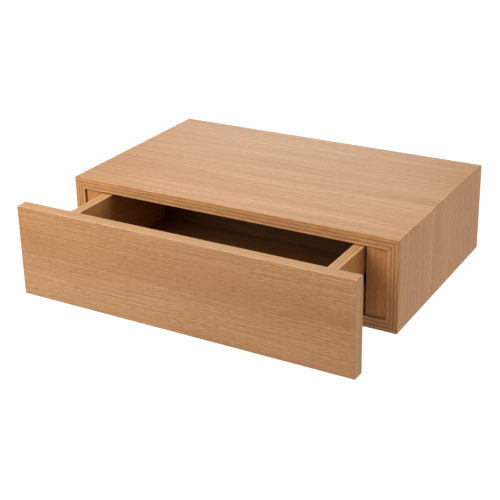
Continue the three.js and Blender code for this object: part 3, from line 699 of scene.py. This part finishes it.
def new_shape(add_primitive, **shape):
    """The object of a new primitive, added with nothing else selected."""
    bpy.ops.object.select_all(action="DESELECT")
    add_primitive(**shape)
    return bpy.context.object


def edit_all():
    """Goes to edit mode with everything selected."""
    bpy.ops.object.mode_set(mode="EDIT")
    bpy.ops.mesh.select_all(action="SELECT")


def stand_in(piece, node, material):
    """A modelled piece takes over from a node: its body and its finish."""
    piece.data.materials.clear()
    piece.data.materials.append(material)
    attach(piece, BODY_OF[node])
    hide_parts(node)


def select(piece, kind, chosen):
    """In edit mode, selects the faces or edges that `chosen` accepts. `kind` is FACE or EDGE."""
    bpy.ops.mesh.select_mode(type=kind)
    bpy.ops.mesh.select_all(action="DESELECT")
    mesh = bmesh.from_edit_mesh(piece.data)
    for part in mesh.faces if kind == "FACE" else mesh.edges:
        part.select_set(chosen(part))
    mesh.select_flush_mode()
    bmesh.update_edit_mesh(piece.data)


def is_sharp(edge):
    """True for an outer corner, where two faces meet at more than the angle SHARP."""
    return edge.is_manifold and edge.calc_face_angle_signed(0) > SHARP


def long_edges(axis=None, *levels, least=LONG_EDGE):
    """Chooses sharp edges at least this long, only those at these levels along an axis if it is given."""

    def chosen(edge):
        if not is_sharp(edge) or edge.calc_length() < least:
            return False
        return not levels or any(all(abs(v.co[axis] - level) < NEAR for v in edge.verts) for level in levels)

    return chosen


def rework(node, ending, material, radius=0, chosen=is_sharp):
    """A merged copy of a node takes over from it, shaded smooth over its bends and rounded edges.

    Its name is the node's with an `ending`. The `chosen` edges are rounded, unless `radius` is 0.
    """
    piece = bpy.data.objects.new(f"{node}_{ending}", NODES[node].data.copy())
    bpy.context.scene.collection.objects.link(piece)
    only(piece)
    bpy.ops.mesh.customdata_custom_splitnormals_clear()
    edit_all()
    bpy.ops.mesh.remove_doubles(threshold=NEAR)
    bpy.ops.mesh.dissolve_limited(angle_limit=FLAT)
    if radius:
        select(piece, "EDGE", chosen)
        bpy.ops.mesh.bevel(offset=radius, segments=EDGE_STEPS, affect="EDGES", clamp_overlap=True)
    bpy.ops.object.mode_set(mode="OBJECT")
    smooth(piece)
    stand_in(piece, node, material)


def smooth(piece):
    """Shades roundings smooth and keeps the flat faces between them flat."""
    bpy.ops.object.shade_smooth_by_angle(angle=SMOOTH)
    flats = piece.modifiers.new("flats", "WEIGHTED_NORMAL")
    flats.keep_sharp = True
    bpy.ops.object.modifier_apply(modifier="flats")


def grow(steps):
    """Extrudes the selected round face to each (level, radius) in turn, down the Z axis."""
    level, radius = steps[0]
    for next_level, next_radius in steps[1:]:
        drop = {"value": (0, 0, next_level - level)}
        bpy.ops.mesh.extrude_region_move(TRANSFORM_OT_translate=drop)
        share = next_radius / radius
        bpy.ops.transform.resize(value=(share, share, 1), center_override=(0, 0, next_level))
        level, radius = next_level, next_radius


def cut_recess(screw, sizes):
    """Cuts a tapered cross recess in the head, one slot at a time."""
    for turn in (0, math.pi / 2):
        cutter = new_shape(bpy.ops.mesh.primitive_cube_add, size=1)
        cutter.scale = (sizes.recess_length, sizes.recess_width, 2 * sizes.recess_depth)
        cutter.rotation_euler = (0, 0, turn)
        bpy.ops.object.transform_apply(rotation=True, scale=True)
        bpy.ops.object.mode_set(mode="EDIT")
        select(cutter, "FACE", lambda face: face.normal.z < LOOKS_DOWN)
        tip = (0, 0, -sizes.recess_depth)
        bpy.ops.transform.resize(value=(RECESS_TAPER, RECESS_TAPER, 1), center_override=tip)
        bpy.ops.object.mode_set(mode="OBJECT")
        only(screw)
        slot_cut = screw.modifiers.new("recess", "BOOLEAN")
        slot_cut.object = cutter
        slot_cut.operation = "DIFFERENCE"
        slot_cut.solver = "EXACT"
        bpy.ops.object.modifier_apply(modifier="recess")
        bpy.data.objects.remove(cutter)


def wind_thread(long, sizes):
    """The thread's ridge: a three-cornered profile wound down the core, closed at both ends."""
    start = sizes.head_depth + sizes.pitch
    turns = int((long - sizes.point - start) / sizes.pitch)
    half = (sizes.crest_radius - sizes.root_radius) / 2

    # The profile has a corner at the crest, and its side opposite is sunk in the core
    ridge = new_shape(bpy.ops.mesh.primitive_circle_add, vertices=RIDGE_CORNERS, radius=2 * half)
    edit_all()
    bpy.ops.transform.rotate(value=math.pi / 2, orient_axis="Z", center_override=(0, 0, 0))
    bpy.ops.transform.rotate(value=math.pi / 2, orient_axis="X", center_override=(0, 0, 0))
    bpy.ops.transform.translate(value=(sizes.crest_radius - 2 * half, 0, -start))
    bpy.ops.object.mode_set(mode="OBJECT")
    winding = ridge.modifiers.new("winding", "SCREW")
    winding.screw_offset = -sizes.pitch
    winding.iterations = max(turns, 1)
    winding.steps = winding.render_steps = THREAD_STEPS
    bpy.ops.object.modifier_apply(modifier="winding")
    edit_all()
    bpy.ops.mesh.remove_doubles(threshold=NEAR)
    bpy.ops.mesh.fill_holes(sides=RIDGE_CORNERS)
    bpy.ops.mesh.select_all(action="SELECT")
    bpy.ops.mesh.normals_make_consistent(inside=False)
    bpy.ops.object.mode_set(mode="OBJECT")
    return ridge


def model_screw(long, head, sizes):
    """A countersunk screw with a cross recess, from its head's face at the origin down the Z axis."""
    screw = new_shape(bpy.ops.mesh.primitive_circle_add, vertices=HEAD_STEPS, radius=head, fill_type="NGON")
    screw.name = f"screw_{long / MM:.1f}"
    edit_all()
    grow(
        [
            (0, head),
            (-sizes.head_rim, head),
            (-sizes.head_depth, sizes.root_radius),
            (sizes.point - long, sizes.root_radius),
            (-long, sizes.root_radius * BLUNT_POINT),
        ]
    )
    bpy.ops.mesh.select_all(action="SELECT")
    bpy.ops.mesh.normals_make_consistent(inside=False)
    bpy.ops.object.mode_set(mode="OBJECT")
    cut_recess(screw, sizes)
    ridge = wind_thread(long, sizes)
    only(screw)
    ridge.select_set(True)
    bpy.ops.object.join()
    smooth(screw)
    return screw


def model_pad(radius, thick):
    """A soft domed pad: a ball cut off flat, at the origin, and pressed to its height above it."""
    rounds = {"segments": PAD_STEPS, "ring_count": PAD_RINGS}
    pad = new_shape(bpy.ops.mesh.primitive_uv_sphere_add, radius=radius, **rounds)
    pad.name = "pad"
    edit_all()
    bpy.ops.mesh.bisect(plane_co=(0, 0, 0), plane_no=Z, clear_inner=True, use_fill=True)
    bpy.ops.mesh.select_all(action="SELECT")
    bpy.ops.transform.resize(value=(1, 1, thick / radius), center_override=(0, 0, 0))
    bpy.ops.object.mode_set(mode="OBJECT")
    smooth(pad)
    return pad


def put_copy(model, name, spot, facing):
    """A copy of a model with its own mesh, with its origin at `spot` and its Z axis turned to `facing`."""
    only(model)
    bpy.ops.object.duplicate(linked=False)
    piece = bpy.context.object
    piece.name = name
    piece.location = spot
    piece.rotation_euler = Vector(facing).to_track_quat("Z", "Y").to_euler()
    bpy.ops.object.transform_apply(location=True, rotation=True, scale=True)
    return piece


class NIGHTSTAND_OT_carcass(bpy.types.Operator):
    """Veneers the four mitred boards, with the grain running on round the corners"""

    bl_idname = "nightstand.carcass"
    bl_label = "Veneer the carcass"

    def execute(self, context):
        # X less Z has no jump at a corner, so that the figure runs on round all four
        figure = {"along": (1, 0, -1), "across": Y, "leaf": 1, "flecked": 0.2, "coarse": 2.6}
        figure["core_at"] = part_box("top_panel")[1].y
        oak = context.scene.nightstand_oak
        # The level boards get a lit copy of the veneer, less red than the upright ones: painted light
        painted_light_shades = [(red * PAINTED_LIGHT_RED_SHARE, green, blue) for red, green, blue in (oak.dark, oak.middle, oak.pale)]
        level = oak_veneer("oak_veneer_level", ringed=0.75, soft=0.75, sheen=0.36, shades=painted_light_shades, **figure)
        upright = oak_veneer("oak_veneer_upright", ringed=0.75, soft=0.45, sheen=0.15, **figure)
        for edge in LEVELS:
            finish(f"{edge}_panel", level)
        for edge in SIDES:
            finish(f"{edge}_side_panel", upright)
        strip = carcass_lipping()
        crisp = context.scene.nightstand_fittings.crisp_edge
        for edge in LEVELS + SIDES:
            node = f"{edge}_edging"
            rework(node, "eased", strip, crisp, long_edges(1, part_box(node)[0].y))
        return {"FINISHED"}


class NIGHTSTAND_OT_fillers(bpy.types.Operator):
    """Finishes the filler strips and the cheeks behind them"""

    bl_idname = "nightstand.fillers"
    bl_label = "Finish fillers and cheeks"

    def execute(self, context):
        groove = context.scene.nightstand_fittings.groove_edge
        for side, leaf, deeper in (("left", 14, 0), ("right", 9, 0.04)):
            node = f"{side}_filler_strip"
            strip = solid_oak(f"oak_filler_{side}", Z, X, leaf, deeper)
            rework(node, "eased", strip, groove, long_edges(1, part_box(node)[0].y))
            quiet = {"leaf": leaf + 4, "flecked": 0.3, "sheen": 0.2}
            finish(f"{side}_cheek", oak_veneer(f"oak_cheek_{side}", Y, Z, **quiet))
        return {"FINISHED"}


class NIGHTSTAND_OT_front(bpy.types.Operator):
    """Veneers the drawer's front panel and finishes the bands round it"""

    bl_idname = "nightstand.front"
    bl_label = "Veneer the front"

    def execute(self, context):
        finish("front_panel", oak_veneer("oak_veneer_front", X, Z, leaf=13, flecked=1))
        oak = context.scene.nightstand_oak
        level = front_lipping("oak_band_level", oak.band, sheen=0.15, fade=0.65)
        # The upright bands take the lighter copy of the band oak: painted light
        upright = front_lipping("oak_band_upright", oak.upright_band_painted_light, sheen=0.03, fade=0.35)
        for edges, strip in ((LEVELS, level), (SIDES, upright)):
            for edge in edges:
                rework(f"front_panel_{edge}_band", "eased", strip)
        return {"FINISHED"}


class NIGHTSTAND_OT_drawer_box(bpy.types.Operator):
    """Finishes the sides, ends and bottom of the drawer box"""

    bl_idname = "nightstand.drawer_box"
    bl_label = "Finish the drawer box"

    def execute(self, context):
        oak = context.scene.nightstand_oak
        # The ends' inner faces take a painted shade, much darker than the sides' painted tone
        painted_inner_tone, shaded = oak.inside_face, mixed(oak.inside_face, BLACK, PAINTED_SHADE_OF_ENDS)
        low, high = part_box("right_drawer_side")
        side_oak = drawer_oak("oak_drawer_side", Y, Z, "X", low.x, high.x, painted_inner_tone, leaf=5)
        ease = context.scene.nightstand_fittings.eased_edge
        for side in SIDES:
            rework(f"{side}_drawer_side", "eased", side_oak, ease, long_edges(2, high.z))
        for node, leaf in (("drawer_box_front", 6), ("drawer_back", 7)):
            low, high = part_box(node)
            faces = (high.y, low.y) if node == "drawer_box_front" else (low.y, high.y)
            inner, outer = (abs(face) for face in faces)
            end_oak = drawer_oak(f"oak_{node}", X, Z, "Y", inner, outer, shaded, leaf)
            rework(node, "eased", end_oak, ease, long_edges(2, high.z))
        # The bottom's dark oak is painted shade
        figure = {"leaf": 2, "flecked": 0.3, "coarse": 1.8, "soft": 0.5, "sheen": 0.2}
        figure["shades"] = mixed(oak.bottom, BLACK, 0.3), oak.bottom, mixed(oak.bottom, oak.pale, 0.2)
        finish("drawer_bottom", oak_veneer("oak_drawer_bottom", X, Y, **figure))
        return {"FINISHED"}


class NIGHTSTAND_OT_back(bpy.types.Operator):
    """Finishes the back panel, the two cleats and the lower rail"""

    bl_idname = "nightstand.back"
    bl_label = "Finish back and cleats"

    def execute(self, context):
        ease = context.scene.nightstand_fittings.eased_edge
        for node, plies, leaf in (
            ("back_panel", 5, 3),
            ("hanging_cleat", 13, 4),
            ("wall_cleat", 13, 5),
            ("lower_rail", 13, 6),
        ):
            low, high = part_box(node)
            sheet = plywood(f"plywood_{node}", low.y, (high.y - low.y) / plies, leaf)
            if node == "back_panel":
                finish(node, sheet)
            else:
                rework(node, "eased", sheet, ease, long_edges())
        return {"FINISHED"}


class NIGHTSTAND_OT_runners(bpy.types.Operator):
    """Shades the bends of the runners' rails and the balls of their cages smooth"""

    bl_idname = "nightstand.runners"
    bl_label = "Finish the runners"

    def execute(self, context):
        black, zinc = black_steel(), zinc_steel()
        for side in SIDES:
            for node, steel in (("cabinet_rail", black), ("drawer_rail", black), ("ball_cage", zinc)):
                rework(f"{side}_{node}", "rolled", steel)
        return {"FINISHED"}


class NIGHTSTAND_OT_latch(bpy.types.Operator):
    """Rounds the edges of the touch latch, its plunger and the strike plate"""

    bl_idname = "nightstand.latch"
    bl_label = "Finish the touch latch"

    def execute(self, context):
        ease = context.scene.nightstand_fittings.moulded_edge
        acetal, zinc = moulded_acetal(), zinc_steel()
        for node, material in (("latch_housing", acetal), ("latch_plunger", acetal), ("strike_plate", zinc)):
            rework(node, "rounded", material, ease, long_edges(least=MOULDED_EDGE))
        return {"FINISHED"}


class NIGHTSTAND_OT_screws(bpy.types.Operator):
    """Models one countersunk screw of each length and puts a copy in every hole"""

    bl_idname = "nightstand.screws"
    bl_label = "Drive the screws"

    def execute(self, context):
        sizes = context.scene.nightstand_fittings
        zinc = zinc_steel()
        models = {}
        for group, facing in SCREW_HEADS.items():
            for node in sorted(n for n in NODES if n.startswith(group)):
                low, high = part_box(node)
                axis = max(range(3), key=lambda i: abs(facing[i]))
                long, head = (high - low)[axis], (high - low)[(axis + 1) % 3] / 2
                key = round(long / MM, 1)
                if key not in models:
                    models[key] = model_screw(long, head, sizes)
                spot = (low + high) / 2 + Vector(facing) * long / 2
                stand_in(put_copy(models[key], f"{node}_threaded", spot, facing), node, zinc)
        for model in models.values():
            bpy.data.objects.remove(model)
        return {"FINISHED"}


class NIGHTSTAND_OT_pads(bpy.types.Operator):
    """Models a domed bumper pad and puts one at each corner of the front's back"""

    bl_idname = "nightstand.pads"
    bl_label = "Stick on the pads"

    def execute(self, context):
        pads = sorted(n for n in NODES if n.startswith("bumper_pad"))
        low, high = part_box(pads[0])
        model = model_pad((high.x - low.x) / 2, high.y - low.y)
        soft = soft_polyurethane()
        for node in pads:
            low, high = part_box(node)
            spot = ((low.x + high.x) / 2, low.y, (low.z + high.z) / 2)
            stand_in(put_copy(model, f"{node}_domed", spot, Y), node, soft)
        bpy.data.objects.remove(model)
        return {"FINISHED"}


def area_lamp(name, power, turn, rise, reach, mirrored):
    """A square soft lamp that stands where LAMPS says."""
    lamp = bpy.data.lights.new(name, "AREA")
    lamp.shape = "SQUARE"
    lamp.size = LAMP_SIZE
    lamp.energy = power
    holder = bpy.data.objects.new(name, lamp)
    holder.visible_glossy = mirrored
    bpy.context.scene.collection.objects.link(holder)
    turned = Matrix.Rotation(math.radians(turn), 3, "Z") @ Matrix.Rotation(math.radians(-rise), 3, "X")
    away = turned @ Vector((0, -reach, 0))
    holder.location = LAMP_AIM + away
    holder.rotation_euler = away.to_track_quat("Z", "Y").to_euler()


class NIGHTSTAND_OT_stage(bpy.types.Operator):
    """Builds the floor, the lamps, the sky and the camera"""

    bl_idname = "nightstand.stage"
    bl_label = "Build the stage"

    def execute(self, context):
        stage = context.scene.nightstand_stage
        low, _ = CAD_BOX
        below = (0, 0, low.z - stage.floor_drop)
        floor = new_shape(bpy.ops.mesh.primitive_plane_add, size=stage.floor_size, location=below)
        floor.name = "floor"
        bpy.ops.object.transform_apply(location=True)
        floor.data.materials.append(self.floor_paint(stage))

        self.sky(context, stage.sky)
        for name, place in LAMPS.items():
            area_lamp(f"{name}_lamp", getattr(stage, f"{name}_power"), *place)

        camera = bpy.data.cameras.new("camera")
        camera.sensor_width = SENSOR_WIDTH
        camera.lens = stage.lens
        camera.shift_y = stage.shift
        holder = bpy.data.objects.new("camera", camera)
        context.scene.collection.objects.link(holder)
        turn = (
            Matrix.Rotation(stage.camera_yaw, 4, "Z")
            @ Matrix.Rotation(math.pi / 2 - stage.camera_pitch, 4, "X")
            @ Matrix.Rotation(stage.camera_roll, 4, "Z")
        )
        holder.matrix_world = Matrix.Translation(stage.camera_place) @ turn
        context.scene.camera = holder
        context.scene.view_settings.view_transform = "Standard"
        return {"FINISHED"}

    @staticmethod
    def seen_directly(tree):
        """1 for rays that show the background: from the camera, off gloss and through clear plastic."""
        seen = 0
        for ray in ("Camera", "Glossy", "Transmission"):
            this_ray = add(tree, "LightPath", out=f"Is {ray} Ray")
            seen = add(tree, "Math", {0: seen, 1: this_ray}, operation="MAXIMUM")
        return seen

    def floor_paint(self, stage):
        """Matt floor that keeps the shadow below the nightstand, and rises to plain white further out."""
        material, tree = new_finish("matt_floor")
        matt = add(tree, "BsdfDiffuse", {"Color": opaque(stage.floor)})
        spot = add(tree, "TexCoord", out="Object")
        level = add(tree, "VectorMath", {0: spot, 1: (1, 1, 0)}, operation="MULTIPLY")
        away = add(tree, "VectorMath", {0: level}, operation="LENGTH", out="Value")
        rise = {"Value": away, "From Min": 0, "From Max": stage.shadow_reach, "To Min": stage.floor_lift}
        lift = add(tree, "MapRange", rise)
        seen = {0: self.seen_directly(tree), 1: lift}
        shown = add(tree, "Math", seen, operation="MULTIPLY")
        glow = add(tree, "Emission", {"Strength": shown})
        both = add(tree, "AddShader", {0: matt, 1: glow})
        add(tree, "OutputMaterial", {"Surface": both})
        return material

    def sky(self, context, level):
        """Soft light from all round, and plain white where the background itself is seen."""
        world = bpy.data.worlds.new("studio")
        context.scene.world = world
        tree = bare_tree(world)
        shown = add(tree, "Mix", {"Factor": self.seen_directly(tree), 2: level, 3: 1})
        back = add(tree, "Background", {"Color": opaque(WHITE), "Strength": shown})
        add(tree, "OutputWorld", {"Surface": back})


class NIGHTSTAND_PT_panel(bpy.types.Panel):
    """A button for each step, and all the settings"""

    bl_idname = "NIGHTSTAND_PT_panel"
    bl_label = "Floating nightstand"
    bl_space_type = "VIEW_3D"
    bl_region_type = "UI"
    bl_category = "Nightstand"

    def draw(self, context):
        for operator in OPERATORS:
            self.layout.operator(operator.bl_idname)
        for holder, group in GROUPS.items():
            box = self.layout.box()
            for name in group.__annotations__:
                box.prop(getattr(context.scene, holder), name)


OPERATORS = (
    NIGHTSTAND_OT_carcass,
    NIGHTSTAND_OT_fillers,
    NIGHTSTAND_OT_front,
    NIGHTSTAND_OT_drawer_box,
    NIGHTSTAND_OT_back,
    NIGHTSTAND_OT_runners,
    NIGHTSTAND_OT_latch,
    NIGHTSTAND_OT_screws,
    NIGHTSTAND_OT_pads,
    NIGHTSTAND_OT_stage,
)
GROUPS = {
    "nightstand_oak": OakFinish,
    "nightstand_fittings": FittingSizes,
    "nightstand_stage": StageSettings,
}


def register():
    """Registers the settings, the operators and the panel."""
    for group in GROUPS.values():
        bpy.utils.register_class(group)
    for operator in OPERATORS:
        bpy.utils.register_class(operator)
    bpy.utils.register_class(NIGHTSTAND_PT_panel)
    for name, group in GROUPS.items():
        setattr(bpy.types.Scene, name, PointerProperty(type=group))


def unregister():
    """Takes them all away again."""
    for name in GROUPS:
        delattr(bpy.types.Scene, name)
    bpy.utils.unregister_class(NIGHTSTAND_PT_panel)
    for operator in reversed(OPERATORS):
        bpy.utils.unregister_class(operator)
    for group in GROUPS.values():
        bpy.utils.unregister_class(group)


def main():
    """Builds the nightstand and its stage."""
    register()
    for operator in OPERATORS:
        space, name = operator.bl_idname.split(".")
        getattr(getattr(bpy.ops, space), name)()


if __name__ == "__main__":
    main()
